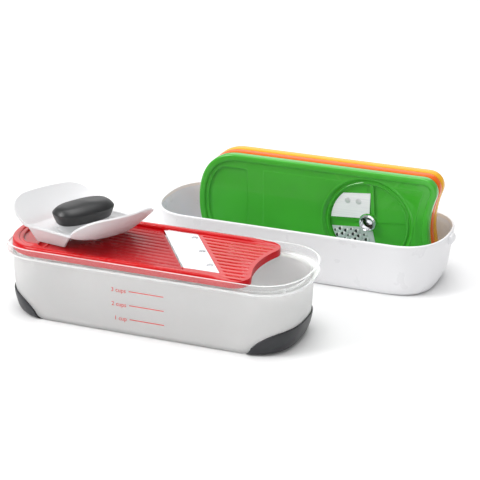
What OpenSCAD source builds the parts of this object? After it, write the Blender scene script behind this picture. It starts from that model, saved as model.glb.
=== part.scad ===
// Mandoline slicer set: a clear-collared box with soft grips, a straight slicing
// plate on it, a food holder, and a deep lid that carries three more plates.
// Units are millimetres. X runs along the box, Y to its back, Z up.

/* [Box] */
// Length over the collar
box_len = 272; // [266:1:280]
// Width over the collar
box_width = 98; // [96:1:102]
// Height to the rim
box_height = 64; // [62:1:72]
// Wall thickness of the box
box_wall = 2.2; // [1.8:0.1:2.6]
// Height of the clear collar
collar_height = 9; // [8:0.5:10]
// Height of the soft grips
grip_height = 21; // [14:1:26]
// How far the grips stand out from the wall
grip_proud = 1.5; // [1:0.1:2]

/* [Plates] */
// Length of every plate
plate_len = 223; // [221:1:223]
// Width of every plate
plate_width = 92; // [88:1:92]
// Height of a plate's skirt and border
plate_height = 8; // [7.5:0.5:8]
// Width of the raised border
border_width = 6; // [4:0.5:7]
// Depth of the bow in the handle end
bow_depth = 7; // [5:0.5:8]
// Distance from one groove to the next
groove_pitch = 6.45; // [5:0.05:6.5]

/* [Slicing blade] */
// Angle of the edge across the plate
blade_angle = 34.8; // [25:0.1:38]
// Width of the strip, square to the edge
blade_width = 25.7; // [22:0.1:27]
// Thickness of the steel
blade_thickness = 0.8; // [0.6:0.1:0.8]
// Width of the ground bevel
bevel_width = 4.6; // [3:0.1:6]
// Height of the edge over the ramp
slice_height = 1.5; // [1:0.1:2]

/* [Food holder] */
// Turn of the holder on the plate
holder_turn = -30; // [-34:1:-20]
// Height of the wings over the floor
wing_height = 22; // [16:1:24]
// Height of the knob
knob_height = 16; // [12:1:18]
// Length of the food pins
pin_length = 6; // [4:0.5:6]

/* [Lid] */
// Height of the deep lid
lid_height = 49; // [46:1:54]
// Where the lid stands, along X
lid_x = 69.7; // [60:0.1:80]
// Where the lid stands, along Y
lid_y = 158.9; // [155:0.1:180]
// Wall thickness of the lid
lid_wall = 2.4; // [2:0.1:2.6]

/* [Hidden] */
$fn = 48;
eps = 0.01;
fit = 0.05;                       // radial clearance of a riveted pin
seg = 20;                         // steps around one rounded end
deck = 6.3;                       // deck level over the plate's foot
skin = 2;                         // thickness of a plate's deck
skirt = 2.2;                      // thickness of a plate's skirt
ledge_z = box_height - 6.7;       // ledge inside the collar
plate_z = ledge_z + 0.2;          // foot of the slicing plate
plate_x = -18.25;                 // middle of the slicing plate
collar_inset = 4.8;               // the collar stands this far out of the wall
stand_y = [150.5, 160.3, 170.1];  // faces of the three stored plates
stand_x = 81.6;                   // middle of the stored plates
stand_z = 5.7 + plate_width / 2;  // their middle over the floor
bow_radius = (33 * 33 + bow_depth * bow_depth) / (2 * bow_depth);
corner_radius = 13;
bow_y = plate_width / 2 - corner_radius;
bow_x = plate_len / 2 - corner_radius + sqrt(pow(bow_radius + corner_radius, 2) - bow_y * bow_y);
bow_turn = asin(bow_y / (bow_radius + corner_radius));

RED = [0.85, 0.08, 0.10];
GREEN = [0.25, 0.65, 0.20];
ORANGE = [0.96, 0.45, 0.13];
YELLOW = [0.98, 0.78, 0.20];
STEEL = [0.86, 0.87, 0.88];
CHROME = [0.75, 0.76, 0.78];
FROST = [0.90, 0.93, 0.93];
WHITE = [0.95, 0.95, 0.95];
SOFT = [0.20, 0.21, 0.23];

// ---- outlines and shells -------------------------------------------------

function spow(v, e) = sign(v) * pow(abs(v), e);

// One rounded end: half length, half width, length of the end, squareness.
function end_curve(hl, hw, ae, n, k) = [for (i = [0:k]) let (t = -90 + 180 * i / k)
    [hl - ae + ae * pow(max(cos(t), 0), 2 / n), hw * spow(sin(t), 2 / n)]];

// The whole outline, anticlockwise from the front of the right end.
function oval(s) = let (e = end_curve(s[0], s[1], s[2], s[3], seg))
    concat(e, [for (i = [seg:-1:0]) [-e[i][0], e[i][1]]]);

function at_height(s, z) = [for (p = oval(s)) [p[0], p[1], z]];

// Rounding that eats into a wall near its foot.
function foot(z, size, rise) = size * (1 - sqrt(1 - pow(max(0, 1 - z / rise), 2)));

// Section of the box at height z: half length, half width, end length, squareness.
function box_at(z) = let (k = z / 53, l = box_len / 2 - collar_inset - 2.7, w = box_width / 2 - 5.5)
    [l + 2.5 * k - foot(z, 8.7, 34), w + 1.1 * k - foot(z, 3, 6), 48.5 - 7.5 * k, 2.84 - 0.49 * k];

// Section of the lid at height z.
function lid_at(z) = let (k = z / 48, l = box_len / 2 - 7.6, w = box_width / 2 - 6.3)
    [l + 7.8 * k - foot(z, 5.5, 18), w + 5.9 * k - foot(z, 2.6, 6), 42 - k, 3 - 0.65 * k];

function inset(s, d) = [s[0] - d, s[1] - d, s[2] - d * 0.8, s[3]];

// Closed skin through a list of rings that all have the same number of points.
module loft(rings) {
    n = len(rings[0]);
    m = len(rings);
    side = [for (i = [0:m - 2]) for (j = [0:n - 1]) let (a = i * n + j, b = i * n + (j + 1) % n)
        each [[a, a + n, b + n], [a, b + n, b]]];
    foot_cap = [[for (j = [0:n - 1]) j]];
    head_cap = [[for (j = [n - 1:-1:0]) (m - 1) * n + j]];
    polyhedron([for (r = rings) each r], concat(foot_cap, side, head_cap), convexity = 6);
}

// Closed solid between two equal grids of points, rows by columns.
module sheet(top, under) {
    m = len(top);
    n = len(top[0]);
    b = m * n;
    up = [for (i = [0:m - 2]) for (j = [0:n - 2]) let (a = i * n + j)
        each [[a, a + 1, a + n + 1], [a, a + n + 1, a + n]]];
    down = [for (f = up) [b + f[2], b + f[1], b + f[0]]];
    rim = concat([for (j = [0:n - 2]) j], [for (i = [0:m - 2]) i * n + n - 1],
        [for (j = [n - 1:-1:1]) (m - 1) * n + j], [for (i = [m - 1:-1:1]) i * n]);
    k = len(rim);
    wall = [for (i = [0:k - 1]) let (p = rim[i], q = rim[(i + 1) % k])
        each [[p, b + p, b + q], [p, b + q, q]]];
    points = concat([for (r = top) each r], [for (r = under) each r]);
    polyhedron(points, concat(up, down, wall), convexity = 6);
}

// ---- box -----------------------------------------------------------------

OUT_Z = [0, 0.5, 1.4, 3, 5, 8, 12, 17, 23, 30, 40];
IN_Z = [40, 28, 20, 13, 8, 4.5, 2, 0.8, 0];

module container_body() {
    step = box_height - collar_height;
    rim = [box_len / 2, box_width / 2, 41, 2.35];
    outer = [for (z = OUT_Z) at_height(box_at(z), z)];
    neck = [at_height(box_at(step - 2), step - 2), at_height(inset(rim, 0.6), step),
        at_height(inset(rim, 0.4), step + 1), at_height(rim, box_height - 0.9),
        at_height(inset(rim, 0.7), box_height)];
    collar = [at_height(inset(rim, 1.9), box_height), at_height(inset(rim, 2.6), box_height - 0.8),
        at_height(inset(rim, 2.7), ledge_z)];
    inner = [for (z = IN_Z) at_height(inset(box_at(z), box_wall), z + box_wall)];
    mouth = [at_height(inset(box_at(ledge_z), box_wall), ledge_z)];
    color(FROST) loft(concat(outer, neck, collar, mouth, inner));
}

// Upper edge of a grip: a quarter ellipse that starts on the long side.
GRIP_START = 90;
GRIP_REACH = 31;
function grip_top(x) = let (s = min(1, max(0, (abs(x) - GRIP_START) / GRIP_REACH)))
    grip_height * sqrt(1 - (1 - s) * (1 - s));
GRIP_STEPS = 7;
GRIP_COLS = 28;
GRIP_SWEEP = 73;
GRIP_GAP = 0.2;

function end_point(s, t) = [s[0] - s[2] + s[2] * pow(max(cos(t), 0), 2 / s[3]), s[1] * spow(sin(t), 2 / s[3])];

// One point of the grip: column t, height share r, distance d from the wall.
function grip_point(t, r, d) = let (x = end_point(box_at(0), t)[0],
        z = 0.6 + max(0.8, grip_top(x) - 0.6) * r, q = end_point(inset(box_at(z), -d), t)) [q[0], q[1], z];
function grip_grid(d) = [for (i = [0:GRIP_STEPS]) [for (j = [0:GRIP_COLS])
    grip_point(-GRIP_SWEEP + 2 * GRIP_SWEEP * j / GRIP_COLS, i / GRIP_STEPS, d * (i < GRIP_STEPS ? 1 : 0.6))]];
function grip_foot(d) = [for (j = [0:GRIP_COLS])
    let (q = end_point(inset(box_at(0), -d), -GRIP_SWEEP + 2 * GRIP_SWEEP * j / GRIP_COLS)) [q[0], q[1], 0]];

module grip() {
    outer = concat([grip_foot(grip_proud - 0.5)], grip_grid(grip_proud));
    inner = concat([grip_foot(GRIP_GAP)], grip_grid(GRIP_GAP));
    color(SOFT) sheet(inner, outer);
}

module right_grip() {
    grip();
}

module left_grip() {
    mirror([1, 0, 0]) grip();
}

// ---- plates --------------------------------------------------------------

// Outline of a plate, drawn in by o, with the bowed handle end at +X.
function plate_points(o) = let (hl = plate_len / 2 - o, hw = plate_width / 2 - o, ae = 38 - 0.8 * o,
        xc = plate_len / 2 - corner_radius, r = corner_radius - o, left = end_curve(hl, hw, ae, 2.35, seg))
    concat([for (i = [0:10]) let (t = -90 + (90 + bow_turn) * i / 10) [xc + r * cos(t), -bow_y + r * sin(t)]],
        [for (i = [1:11]) let (t = 180 + bow_turn - 2 * bow_turn * i / 12)
            [bow_x + (bow_radius + o) * cos(t), (bow_radius + o) * sin(t)]],
        [for (i = [0:10]) let (t = -bow_turn + (90 + bow_turn) * i / 10) [xc + r * cos(t), bow_y + r * sin(t)]],
        [for (i = [seg:-1:0]) [-left[i][0], left[i][1]]]);

module slab(o, z0, z1) {
    translate([0, 0, z0]) linear_extrude(z1 - z0) polygon(plate_points(o));
}

// Border and skirt, hollow underneath, with a pocket for the deck above.
module plate_rim() {
    difference() {
        union() {
            slab(0, 0, plate_height - 0.7);
            slab(0.5, plate_height - 0.7 - eps, plate_height);
        }
        slab(skirt, -1, deck - skin);
        slab(border_width, deck - skin - 1, plate_height + 1);
    }
}

module deck_slab(z = deck) {
    slab(border_width - 0.5, z - skin, z);
}

// Finger recess near the rounded end: a pan with a rim of its own.
RECESS_X = -79;                   // inner edge of the recess on the slicing plate
WIDE_RECESS_X = -64.5;            // the same on a stored plate
RECESS_HALF = 33.6;
module recess_shape(o, end = RECESS_X) {
    intersection() {
        polygon(plate_points(8.5 + o));
        translate([end - 200 - o, o - RECESS_HALF]) square([200, 2 * (RECESS_HALF - o)]);
    }
}

OPEN_HALF = 38;
function groove_y(i) = (i - 5.5) * groove_pitch;

// Frame of the blade's own directions: X square to the edge, Y along it.
EDGE_X = 30.65;
module along_blade() {
    rotate([0, 0, blade_angle]) children();
}
edge_u = EDGE_X * cos(blade_angle);
seat_u = edge_u + 11.5;
back_u = edge_u + blade_width;
ramp_u = edge_u - 0.9;
ramp_low = deck - 0.8 - slice_height + 0.5;
RAMP_TILT = 1.2;
STAKE_V = [-57.8, -26.8, 4.2];

module blade_band(u0, u1, z0, z1) {
    along_blade() translate([u0, -90, z0]) cube([u1 - u0, 180, z1 - z0]);
}

module between_borders(y0, y1) {
    translate([-200, y0, -1]) cube([400, y1 - y0, 30]);
}

// Take-off deck: grooved, open to the bowed end.
module takeoff_deck() {
    difference() {
        intersection() {
            union() {
                deck_slab();
                open_end();
            }
            blade_band(seat_u, 200, -1, 20);
        }
        blade_band(seat_u - 1, back_u + 0.2, deck - blade_thickness, 20);
        for (i = [0:11]) {
            groove_cut(i);
        }
    }
}

// The deck runs out level over the bow.
module open_end() {
    intersection() {
        slab(skirt - 0.2, deck - skin, deck);
        translate([60, -OPEN_HALF, 0]) cube([80, 2 * OPEN_HALF, 20]);
    }
}

module groove_cut(i) {
    y = groove_y(i);
    start = (back_u + 3.5 - y * sin(blade_angle)) / cos(blade_angle);
    stop = bow_x - sqrt(pow(bow_radius + 4, 2) - y * y);
    translate([start, y - 0.65, deck - 0.5]) cube([max(1, stop - start), 1.3, 2]);
}

module ramp_plane(thick) {
    along_blade() translate([ramp_u, 0, ramp_low]) rotate([0, RAMP_TILT, 0])
        translate([-160, -100, -thick]) cube([160, 200, thick]);
}

module ramp() {
    intersection() {
        slab(border_width - 0.5, 0.5, 20);
        translate([RECESS_X + 8, -60, 0]) cube([200, 120, 20]);
        ramp_plane(2.2);
    }
}

// Level land at the rounded end, with the finger recess sunk in it.
module land() {
    land_top = plate_height - 0.9;
    difference() {
        intersection() {
            slab(border_width - 0.5, deck - 2.8, land_top);
            translate([-200, -60, 0]) cube([200 + RECESS_X + 9, 120, 20]);
        }
        translate([0, 0, deck - 1.2]) linear_extrude(9) recess_shape(0);
        translate([0, 0, deck - 1.6]) linear_extrude(9) recess_shape(1.2);
    }
}

module slicer_frame() {
    color(RED) translate([plate_x, 0, plate_z]) {
        difference() {
            union() {
                plate_rim();
                takeoff_deck();
                ramp();
                land();
                seat_rails();
            }
            blade_slot();
            blade_pocket();
            translate([93, -OPEN_HALF, deck]) cube([30, 2 * OPEN_HALF, 9]);
            for (v = STAKE_V) {
                along_blade() translate([back_u - 4, v, 0]) cylinder(h = 20, r = 1.5 + fit);
            }
        }
    }
}

BLADE_Y0 = -33.5;
BLADE_Y1 = 39.2;

// The blade's ends bear on short rails beside the slot.
module seat_rails() {
    intersection() {
        union() {
            between_borders(BLADE_Y0 - 8, BLADE_Y0 + 2.5);
            between_borders(BLADE_Y1 - 2.5, BLADE_Y1 + 4);
        }
        slab(border_width - 0.5, 2, deck);
        blade_band(edge_u - 6, seat_u + 1, 2, deck);
    }
}

// Throat that the slices fall through.
module blade_slot() {
    intersection() {
        blade_band(ramp_u, seat_u, -1, 20);
        between_borders(BLADE_Y0 + 2.5, BLADE_Y1 - 2.5);
    }
}

module blade_pocket() {
    intersection() {
        blade_band(edge_u - 0.6, back_u + 0.2, deck - blade_thickness, 20);
        between_borders(BLADE_Y0 - 0.2, BLADE_Y1 + 0.2);
    }
}

// Steel strip with a ground bevel and three rivet holes.
module slicer_blade() {
    low = deck - blade_thickness;
    color(STEEL) translate([plate_x, 0, plate_z]) difference() {
        intersection() {
            along_blade() translate([edge_u, 90, low]) rotate([90, 0, 0]) linear_extrude(180)
                polygon([[0, 0], [0, 0.08], [bevel_width, blade_thickness], [blade_width, blade_thickness],
                    [blade_width, 0]]);
            between_borders(BLADE_Y0, BLADE_Y1);
        }
        for (v = STAKE_V) {
            along_blade() translate([back_u - 4, v, 0]) cylinder(h = 20, r = 1.5 + fit);
        }
    }
}

// A domed rivet, head on the plane z = 0, pin downward.
module rivet(head, pin, long, dome) {
    rotate_extrude() polygon(concat([[0, -long], [pin, -long], [pin, 0], [head, 0]],
        [for (a = [0:15:90]) [head * cos(a), dome * sin(a)]]));
}

module slicer_rivets() {
    color(STEEL) translate([plate_x, 0, plate_z + deck]) for (v = STAKE_V) {
        along_blade() translate([back_u - 4, v, 0]) rivet(2.9, 1.5, 2.6, 0.6);
    }
}

// ---- food holder ---------------------------------------------------------

HOLDER = [-69.9, -1.6];
FLOOR_Z = plate_z + 16.3;
HALF_DEPTH = 35.4;
HALF_SIDE = 22.8;
SIDE_BOW = 8.7;
SHEAR = 7.1;
LIFT = 3.9;
WING_OUT = 15.5;
WING_TOP = 48.3;
WING_BOW = 11.8;
SHELL = 1.8;
FLAP_LOW = plate_z + 7.5 - FLOOR_Z;

function side_at(v) = HALF_SIDE + SIDE_BOW * (1 - v * v);

// Floor of the holder: f across from side to side, v from flap to flap.
function floor_point(f, v) = [f * side_at(v), HALF_DEPTH * v + SHEAR * f, LIFT * pow(v, 4)];

// A wing: lateral share s, height share k, side m.
function wing_point(s, k, m) = let (v = s * (1 - 0.6 * (1 - sqrt(1 - k * k))),
        p = HALF_SIDE + (SIDE_BOW + (WING_BOW - SIDE_BOW) * k) * (1 - v * v) + WING_OUT * (1.3 * k - 0.3 * k * k))
    [m * p, (HALF_DEPTH + (WING_TOP - HALF_DEPTH) * k) * v + SHEAR * m, wing_height * k + (1 - k) * LIFT * pow(v, 4)];

WING_K = [1, 0.985, 0.94, 0.86, 0.74, 0.6, 0.45, 0.3, 0.15];
FLOOR_F = [-1, -0.75, -0.5, -0.25, 0, 0.25, 0.5, 0.75, 1];
ROW = [for (j = [0:16]) -1 + j / 8];

function slope_at(k) = let (a = atan2(wing_height, WING_OUT * (1.3 - 0.6 * k))) [sin(a), cos(a)];

function holder_top() = concat([for (k = WING_K) [for (v = ROW) wing_point(v, k, -1)]],
    [for (f = FLOOR_F) [for (v = ROW) floor_point(f, v)]],
    [for (i = [len(WING_K) - 1:-1:0]) [for (v = ROW) wing_point(v, WING_K[i], 1)]]);
function holder_under() = concat(
    [for (k = WING_K) let (n = slope_at(k)) [for (v = ROW) wing_point(v, k, -1) - SHELL * [n[0], 0, n[1]]]],
    [for (f = FLOOR_F) [for (v = ROW) floor_point(f, v) - [0, 0, SHELL]]],
    [for (i = [len(WING_K) - 1:-1:0]) let (n = slope_at(WING_K[i]))
        [for (v = ROW) wing_point(v, WING_K[i], 1) - SHELL * [-n[0], 0, n[1]]]]);

module holder_place() {
    translate([HOLDER[0], HOLDER[1], FLOOR_Z]) rotate([0, 0, holder_turn]) children();
}

// A hanging flap that glides over the plate between its borders.
module flap() {
    y = HALF_DEPTH - 0.1;
    x = HALF_SIDE - 0.3;
    top = [[-x, -y - SHEAR, LIFT - 0.4], [x, -y + SHEAR, LIFT - 0.4]];
    low = [[-13, -y + 1.8 - 0.7 * SHEAR, FLAP_LOW], [13, -y + 1.8 + 0.7 * SHEAR, FLAP_LOW]];
    back_top = [for (p = top) p + [0, SHELL, 0]];
    back_low = [for (p = low) p + [0, SHELL - 0.3, 0]];
    sheet([for (i = [0, 1]) [top[i], back_top[i]]], [for (i = [0, 1]) [low[i], back_low[i]]]);
}

module guard_shell() {
    color(FROST) holder_place() difference() {
        union() {
            sheet(holder_top(), holder_under());
            flap();
            rotate([0, 0, 180]) flap();
            pedestal();
        }
        for (y = [-12, 12]) {
            translate([0, y, -10]) cylinder(h = 30, r = 1.6 + fit);
        }
    }
}

module long_round(half, r, z0, z1) {
    translate([0, 0, z0]) linear_extrude(z1 - z0) {
        translate([0, -half]) circle(r);
        translate([0, half]) circle(r);
        translate([-r, -half]) square([2 * r, 2 * half]);
    }
}

PED = 6.2;
module pedestal() {
    long_round(14, 9.5, -0.8, PED);
}

// Soft knob, waisted below and domed above.
KNOB_SIDE = 16;
KNOB_REACH = 27.8;
KNOB_Z = [0, 0.6, 2.5, 5, 7.4, 8.6, 9.8, 11.6, 13.6, 15.2, 16];
KNOB_S = [0.80, 0.83, 0.87, 0.93, 0.985, 1.0, 0.98, 0.91, 0.77, 0.54, 0.2];
module guard_knob() {
    rings = [for (i = [0:len(KNOB_Z) - 1]) [for (j = [0:35]) let (a = j * 10, q = KNOB_S[i])
        [KNOB_SIDE * q * spow(cos(a), 0.8), (KNOB_REACH - KNOB_SIDE * (1 - q)) * spow(sin(a), 0.72),
            KNOB_Z[i] * knob_height / 16]]];
    color(SOFT) holder_place() translate([0, 0, PED + fit]) difference() {
        loft(rings);
        for (y = [-12, 12]) {
            translate([0, y, -1]) cylinder(h = 8, r = 1.25 + fit);
        }
    }
}

// Two screws from below hold the knob.
module knob_screws() {
    color(STEEL) holder_place() for (y = [-12, 12]) {
        translate([0, y, -SHELL - fit]) {
            rotate([180, 0, 0]) difference() {
                cylinder(h = 1.6, r1 = 2.9, r2 = 2.3);
                translate([-0.4, -2, 0.9]) cube([0.8, 4, 2]);
            }
            cylinder(h = SHELL + PED + 6, r = 1.25);
        }
    }
}

// A moulded pad of pins that bites into the food.
module guard_pins() {
    color(FROST) holder_place() translate([0, 0, -SHELL - fit]) {
        difference() {
            long_round(10, 17, -1, 0);
            for (y = [-12, 12]) {
                translate([0, y, -2]) cylinder(h = 4, r = 3.4);
            }
        }
        for (a = [0:30:330]) {
            pin_at(12.5 * cos(a), (12.5 + 8) * sin(a));
        }
        for (y = [-5, 0, 5]) {
            pin_at(0, y);
        }
    }
}

module pin_at(x, y) {
    translate([x, y, -pin_length]) cylinder(h = pin_length - 0.5, r1 = 0.35, r2 = 1.1, $fn = 16);
}

// ---- lid -----------------------------------------------------------------

LID_OUT_Z = [0, 0.5, 1.4, 3, 6, 10, 15, 20, 30, 40];
LID_IN_Z = [42, 30, 20, 13, 8, 4.5, 2, 0.8, 0];

module lid_place() {
    translate([lid_x, lid_y, 0]) children();
}

module lid_tub() {
    rim = [box_len / 2, box_width / 2, 41, 2.35];
    outer = [for (z = LID_OUT_Z) at_height(lid_at(z), z)];
    mouth = [at_height(rim, lid_height - 2), at_height(inset(rim, 0.2), lid_height - 0.7),
        at_height(inset(rim, 0.8), lid_height), at_height(inset(rim, 1.8), lid_height),
        at_height(inset(rim, 2.4), lid_height - 0.7)];
    inner = [for (z = LID_IN_Z) at_height(inset(lid_at(z), lid_wall), z + lid_wall)];
    color(WHITE) lid_place() {
        loft(concat(outer, mouth, inner));
        for (s = [-1, 1]) {
            lug(s);
            lid_rib(s);
        }
    }
}

// Latch lug at each end of the rim.
module lug(s) {
    scale([s, 1, 1]) translate([box_len / 2 - 1.4, 0, lid_height - 9.5])
        rotate([90, 0, 0]) translate([0, 0, -5.5]) linear_extrude(11)
            polygon([[0, 0], [4.2, 1.2], [4.4, 6], [3.2, 8.2], [0.6, 8.6]]);
}

// Low ribs on the floor that the stored plates stand on.
module lid_rib(s) {
    translate([s * 55 + 12, -16, lid_wall - 0.2]) cube([2.4, 44, 3.3]);
}

// ---- plates stored in the lid --------------------------------------------

module stored(i) {
    translate([stand_x, stand_y[i] + plate_height, stand_z]) rotate([90, 0, 0]) children();
}

// Plain deck with an inset panel, common to the stored plates.
module stored_frame() {
    plate_rim();
    difference() {
        slab(border_width - 0.5, deck - skin, deck);
        translate([0, 0, deck - 1]) linear_extrude(9) recess_shape(0, WIDE_RECESS_X);
    }
    recess_pan();
}

module recess_pan() {
    difference() {
        translate([0, 0, deck - 3]) linear_extrude(1.6) recess_shape(-1.2, WIDE_RECESS_X);
        translate([0, 0, deck - 2.2]) linear_extrude(9) recess_shape(0.8, WIDE_RECESS_X);
    }
}

// Spiral plate: a round well with a turned floor, two steel tools and a core cutter.
WELL_X = 48.9;
WELL_Y = -2.7;
WELL_R = 35.6;
TEETH_END = 3.6;
WELL_FLOOR = 1.6;
WELL_TURN = 4.5;                  // the tools sit slightly turned in the well
SPIRAL_RIVETS = [[-19.2, 18.6], [-9.1, 18.6]];
TUBE_R = 6.6;
BOSS_R = 8.2;

module spiral_frame() {
    color(GREEN) stored(0) {
        difference() {
            stored_frame();
            translate([WELL_X, WELL_Y, -1]) cylinder(h = 20, r = WELL_R, $fn = 96);
            intersection() {
                translate([WELL_X, WELL_Y, deck - 1])
                    cylinder(h = 1 + eps, r1 = WELL_R + 2.4, r2 = WELL_R + 4.6, $fn = 96);
                translate([0, -plate_width / 2 + border_width + 0.1, 0]) cube([plate_len, plate_width, 20]);
            }
        }
        well();
    }
}

module well() {
    translate([WELL_X, WELL_Y, 0]) difference() {
        union() {
            difference() {
                translate([0, 0, 0.4]) cylinder(h = deck - 1.4, r = WELL_R + 1.5, $fn = 96);
                translate([0, 0, -1]) cylinder(h = 12, r = WELL_R - 0.8, $fn = 96);
            }
            well_floor();
        }
        translate([0, 0, -1]) cylinder(h = 20, r = TUBE_R + fit);
        spiral_slots();
        for (p = SPIRAL_RIVETS) {
            translate([p[0], p[1], -1]) cylinder(h = 20, r = 1.5 + fit);
        }
    }
}

module well_floor() {
    intersection() {
        cylinder(h = 12, r = WELL_R, $fn = 96);
        rotate([0, 0, WELL_TURN]) union() {
            translate([-1, -5.1, 0.4]) cube([60, 60, WELL_FLOOR + 0.4]);
            translate([TEETH_END, -60, 0.4]) cube([60, 60, WELL_FLOOR + 0.4]);
            translate([-60, 3.2, 0.4]) cube([60, 60, WELL_FLOOR + 0.6]);
            translate([-60, -6.4, 0.4]) cube([60, 10, 0.8]);
            translate([-60, -60, 0.4]) cube([60 + TEETH_END, 54, WELL_FLOOR]);
            translate([4.2, 7.4, 0.4]) cube([3, 37, 4.2]);
            cylinder(h = WELL_FLOOR + 2.4, r = BOSS_R);
        }
    }
}

// Slots behind the straight edge and behind the toothed plate.
module spiral_slots() {
    rotate([0, 0, WELL_TURN]) {
        translate([-30, 4.4, -1]) cube([21, 6.6, 20]);
        translate([-26, -24, -1]) cube([17, 13, 20]);
    }
}

// Quarter blade with a straight edge just above the middle of the well.
module spiral_blade() {
    z = 0.4 + WELL_FLOOR + 0.6 + fit;
    color(STEEL) stored(0) translate([WELL_X, WELL_Y, z]) difference() {
        intersection() {
            cylinder(h = 0.8, r = WELL_R - 1.4, $fn = 96);
            linear_extrude(1) polygon([[-40, 1.1], [1.2, 3.9], [1.8, 27.4], [-40, 23.4]]);
        }
        translate([0, 0, -1]) cylinder(h = 4, r = BOSS_R + 0.2);
        for (p = SPIRAL_RIVETS) {
            translate([p[0], p[1], -1]) cylinder(h = 4, r = 1.5 + fit);
        }
    }
}

module spiral_rivets() {
    z = 0.4 + WELL_FLOOR + 1.4 + fit;
    color(STEEL) stored(0) translate([WELL_X, WELL_Y, z]) for (p = SPIRAL_RIVETS) {
        translate([p[0], p[1], fit]) rivet(2.7, 1.5, 3.2, 0.6);
    }
}

// Small plate with punched teeth that cuts strings.
module julienne_plate() {
    z = 0.4 + WELL_FLOOR + fit;
    color(STEEL) stored(0) translate([WELL_X, WELL_Y, z]) difference() {
        union() {
            intersection() {
                cylinder(h = 0.5, r = WELL_R - 1.4, $fn = 96);
                rotate([0, 0, WELL_TURN]) translate([-40, -40, 0]) cube([40 + TEETH_END - 0.2, 34.6, 1]);
            }
            for (k = [0:7]) {
                tooth_at(-27.5 + 3.6 * k, -12 - 3.4 * (k % 2));
                tooth_at(-20.5 + 3.2 * min(k, 6), -21 - 3.4 * (k % 2));
            }
        }
        translate([0, 0, -1]) cylinder(h = 4, r = BOSS_R + 0.2);
    }
}

module tooth_at(x, y) {
    translate([x, y, 0.3]) cylinder(h = 1.6, r1 = 1.25, r2 = 0.25, $fn = 12);
}

// Tube that takes the core out.
module core_cutter() {
    color(CHROME) stored(0) translate([WELL_X, WELL_Y, 0.6]) difference() {
        union() {
            cylinder(h = 7, r = TUBE_R);
            translate([0, 0, WELL_FLOOR + 1.85]) cylinder(h = 0.9, r = TUBE_R + 1);
        }
        translate([0, 0, -1]) cylinder(h = 20, r = TUBE_R - 1);
        translate([0, 0, 6.2]) cylinder(h = 0.8 + eps, r1 = TUBE_R - 1, r2 = TUBE_R - 0.3);
    }
}

// ---- grating plates ------------------------------------------------------

PANEL = [124, 68];
PANEL_X = 12;
module panel_shape(o) {
    r = 7;
    w = PANEL[0] - 2 * o;
    h = PANEL[1] - 2 * o;
    translate([PANEL_X - w / 2 + r, -h / 2]) square([w - 2 * r, h]);
    translate([PANEL_X - w / 2, -h / 2 + r]) square([w, h - 2 * r]);
    for (x = [-1, 1]) {
        for (y = [-1, 1]) {
            translate([PANEL_X + x * (w / 2 - r), y * (h / 2 - r)]) circle(r);
        }
    }
}

function stud_xy(i) = [PANEL_X + (i % 2 == 0 ? -1 : 1) * (PANEL[0] / 2 - 4), (i < 2 ? -1 : 1) * (PANEL[1] / 2 - 8)];

module grater_frame() {
    difference() {
        stored_frame();
        translate([0, 0, deck - 0.7]) linear_extrude(9) panel_shape(-0.2);
        translate([0, 0, -1]) linear_extrude(20) panel_shape(8);
        for (i = [0:3]) {
            translate([stud_xy(i)[0], stud_xy(i)[1], -1]) cylinder(h = 20, r = 1.2 + fit, $fn = 24);
        }
    }
}

module grater_sheet(nx, ny, px, py, hole, lip) {
    r = hole / 2;
    translate([0, 0, deck - 0.7 + fit]) difference() {
        union() {
            linear_extrude(0.6) panel_shape(0);
            for (i = [0:nx - 1]) {
                for (j = [0:ny - 1 - (i % 2)]) {
                    translate([PANEL_X + (i - (nx - 1) / 2) * px, (j - (ny - 1 - (i % 2)) / 2) * py, 0.3])
                        cylinder(h = 0.3 + lip, r1 = r + 0.9, r2 = r + 0.25, $fn = 16);
                }
            }
        }
        for (i = [0:nx - 1]) {
            for (j = [0:ny - 1 - (i % 2)]) {
                translate([PANEL_X + (i - (nx - 1) / 2) * px, (j - (ny - 1 - (i % 2)) / 2) * py, -1])
                    cylinder(h = 6, r = r, $fn = 16);
            }
        }
        for (i = [0:3]) {
            translate([stud_xy(i)[0], stud_xy(i)[1], -1]) cylinder(h = 4, r = 1.2 + fit, $fn = 24);
        }
    }
}

module studs(i) {
    stored(i) for (k = [0:3]) {
        translate([stud_xy(k)[0], stud_xy(k)[1], deck - 0.1 + 2 * fit]) rivet(2.2, 1.2, 2.2, 0.5);
    }
}

module coarse_frame() {
    color(ORANGE) stored(1) grater_frame();
}

module coarse_sheet() {
    color(STEEL) stored(1) grater_sheet(9, 6, 12, 9.5, 5, 0.9);
}

module coarse_studs() {
    color(STEEL) studs(1);
}

module medium_frame() {
    color(YELLOW) stored(2) grater_frame();
}

module medium_sheet() {
    color(STEEL) stored(2) grater_sheet(15, 8, 7.4, 7, 3, 0.7);
}

module medium_studs() {
    color(STEEL) studs(2);
}

// ---- node list -----------------------------------------------------------

container_body();
left_grip();
right_grip();
slicer_frame();
slicer_blade();
slicer_rivets();
guard_shell();
guard_knob();
knob_screws();
guard_pins();
lid_tub();
spiral_frame();
spiral_blade();
spiral_rivets();
julienne_plate();
core_cutter();
coarse_frame();
coarse_sheet();
coarse_studs();
medium_frame();
medium_sheet();
medium_studs();
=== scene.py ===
from math import asin, atan, atan2, cos, pi, radians, sin, sqrt, tan

import bmesh
import bpy
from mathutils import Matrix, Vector
from mathutils.geometry import tessellate_polygon


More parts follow.
